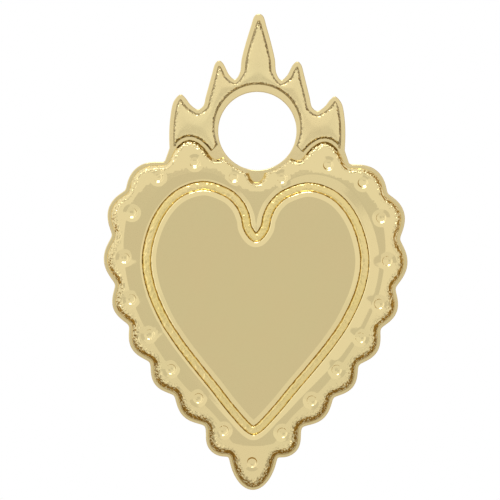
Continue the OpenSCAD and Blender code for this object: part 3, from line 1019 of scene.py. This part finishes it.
class CHARM_OT_flame_crown(Operator):
    """Makes the crown of five softly domed flames"""

    bl_idname = "charm.flame_crown"
    bl_label = "Flame crown"

    def execute(self, context):
        size = in_mm(context.scene.charm_sizes)
        shell = Shell()
        # The flames' walls get tarnish and painted shade at their feet
        foot, edge = shell.wall(wall_rows(
            partial(crown_ring, size), size.plate_top, size.crown_top - size.crown_dome,
            size.crown_wall,
        ))

        def height(points):
            # A parabola, level where the swelling ends
            short = 1 - np.minimum(1, distance(points, edge[1]) / size.dome_reach)
            return size.crown_top - size.crown_dome * short ** 2

        spots = grid_points(edge[1], FACE_GRID / 2)
        spots = spots[distance(spots, edge[1]) > FACE_GRID / 4]
        shell.fill([edge], spots=spots, height=height)
        shell.fill([foot])
        piece = shell.piece("flame_crown_gilt")
        material = gilt_brass(
            "plated_satin_brass", "gold_crown", roughness=0.22, grain_mm=0.4,
            grain_depth_mm=0.002, tarnish=0.7,
        )
        wrinkle_walls(piece, size, material, 3)
        finished(piece, "flame_crown")
        return {"FINISHED"}


def card(name, points, faces, strength, tone):
    """Glowing card that only the metal's reflections see."""
    piece = new_object(name, points, [], faces)
    material = bpy.data.materials.new(name)
    add = empty_tree(material)
    glow = add("ShaderNodeEmission", {"Color": tuple(tone), "Strength": strength})
    add("ShaderNodeOutputMaterial", [glow])
    piece.data.materials.append(material)
    for ray in ("camera", "diffuse", "transmission", "volume_scatter", "shadow"):
        setattr(piece, "visible_" + ray, False)
    piece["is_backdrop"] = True


# Cards beside and in front of the charm: clock angles from the right, angles off the way to
# the camera, and the studio values for their brightness and colour
CARDS = [
    ("dark_surround", (-170, 65), (58, 108), "flag_light", "flag_tone"),
    ("window", (90, 160), (58, 108), "window_light", "card_tone"),
    ("ring_light", (125, 215), (30, 42), "ring_light", "card_tone"),
]
CARD_STEPS = 32


def curved_card(name, centre, away, clock, off, strength, tone):
    """Card on a sphere round the charm, between two pairs of angles in degrees, as in CARDS."""
    points = [
        centre + away * Vector((math.sin(b) * math.cos(a), -math.cos(b), math.sin(b) * math.sin(a)))
        for a in np.radians(np.linspace(*clock, CARD_STEPS)) for b in np.radians(off)
    ]
    faces = [(k, k + 1, k + 3, k + 2) for k in range(0, len(points) - 2, 2)]
    card(name, points, faces, strength, tone)


class CHARM_OT_stage(Operator):
    """Sets the camera, the white surroundings, the floor, the cards and the lamp"""

    bl_idname = "charm.stage"
    bl_label = "Stage"

    def execute(self, context):
        studio = context.scene.charm_studio
        centre = Vector((studio.centre_x, 0, studio.centre_z))
        data = bpy.data.cameras.new("camera")
        data.lens = studio.lens_mm
        camera = bpy.data.objects.new("camera", data)
        away = studio.frame_width * data.lens / data.sensor_width
        camera.location = centre + Vector((0, -away, 0))
        lean = Matrix.Rotation(-studio.lean, 3, "Y")
        camera.rotation_euler = (lean @ HANG.to_3x3()).to_euler()
        data.clip_start, data.clip_end = 0.01, 10
        context.scene.collection.objects.link(camera)
        context.scene.camera = camera
        context.scene.view_settings.view_transform = "Standard"

        world = bpy.data.worlds.new("white_surroundings")
        context.scene.world = world
        add = empty_tree(world)
        path = add("ShaderNodeLightPath").outputs
        seen = path["Is Camera Ray"]
        for ray in ("Is Glossy Ray", "Is Transmission Ray"):
            seen = add("ShaderNodeMath", (seen, path[ray]), operation="MAXIMUM")
        strength = add(
            "ShaderNodeMapRange", {"Value": seen, "To Min": studio.world_light, "To Max": 1.0}
        )
        light = add("ShaderNodeBackground", {"Color": (1, 1, 1, 1), "Strength": strength})
        add("ShaderNodeOutputWorld", [light])

        side, low = studio.floor_side, studio.floor_z
        corners = [(-side, -side, low), (side, -side, low), (side, side, low), (-side, side, low)]
        floor = new_object("floor", corners, [], [(0, 1, 2, 3)])
        paper = bpy.data.materials.new("white_paper_floor")
        add = empty_tree(paper)
        matt = add("ShaderNodeBsdfPrincipled", {"Base Color": srgb("#F6F5F2"), "Roughness": 0.8})
        bright = add("ShaderNodeEmission", {"Strength": studio.floor_mirrored})
        glossy = add("ShaderNodeLightPath").outputs["Is Glossy Ray"]
        seen = add("ShaderNodeMixShader", (glossy, matt, bright))
        add("ShaderNodeOutputMaterial", [seen])
        floor.data.materials.append(paper)
        floor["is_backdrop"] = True

        half, top = studio.screen_side / 2, studio.screen_top
        screen = [
            centre + Vector((x, -studio.screen_away, z))
            for x, z in ((-half, -half), (half, -half), (half, top), (-half, top))
        ]
        card("camera_screen", screen, [(0, 1, 2, 3)], studio.screen_grey, studio.card_tone)
        for name, clock, off, *shine in CARDS:
            shine = [getattr(studio, value) for value in shine]
            curved_card(name, centre, studio.cards_away, clock, off, *shine)

        lamp = bpy.data.lights.new("key_lamp", "AREA")
        lamp.energy, lamp.size = studio.key_power, studio.key_side
        key = bpy.data.objects.new("key_lamp", lamp)
        key.location = centre + Vector(KEY_PLACE)
        key.rotation_euler = (centre - key.location).to_track_quat("-Z", "Y").to_euler()
        key.visible_camera = False
        context.scene.collection.objects.link(key)
        return {"FINISHED"}


class CHARM_PT_pieces(Panel):
    """Lists the charm's pieces and its sizes in the sidebar"""

    bl_label = "Milagro charm"
    bl_idname = "CHARM_PT_pieces"
    bl_space_type = "VIEW_3D"
    bl_region_type = "UI"
    bl_category = "Charm"

    def draw(self, context):
        column = self.layout.column()
        for operator in OPERATORS:
            column.operator(operator.bl_idname)
        for group in (getattr(context.scene, name) for name in GROUPS):
            for name in group.__annotations__:
                column.prop(group, name)


OPERATORS = (
    CHARM_OT_stage, CHARM_OT_back_plate, CHARM_OT_heart_border, CHARM_OT_plain_heart,
    CHARM_OT_heart_wire, CHARM_OT_flame_crown,
)
GROUPS = {"charm_sizes": CharmSizes, "charm_finish": CharmFinish, "charm_studio": CharmStudio}


def register():
    for kind in (*GROUPS.values(), *OPERATORS, CHARM_PT_pieces):
        bpy.utils.register_class(kind)
    for name, kind in GROUPS.items():
        setattr(bpy.types.Scene, name, PointerProperty(type=kind))


def unregister():
    for name in GROUPS:
        delattr(bpy.types.Scene, name)
    for kind in (CHARM_PT_pieces, *OPERATORS, *GROUPS.values()):
        bpy.utils.unregister_class(kind)


def main():
    register()
    bpy.ops.charm.stage()
    bpy.ops.charm.back_plate()
    bpy.ops.charm.heart_border()
    bpy.ops.charm.plain_heart()
    bpy.ops.charm.heart_wire()
    bpy.ops.charm.flame_crown()
    boxes = {"cad": CAD_BOX, "visual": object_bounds()}
    {name: [list(corner) for corner in box] for name, box in boxes.items()}


if __name__ == "__main__":
    main()
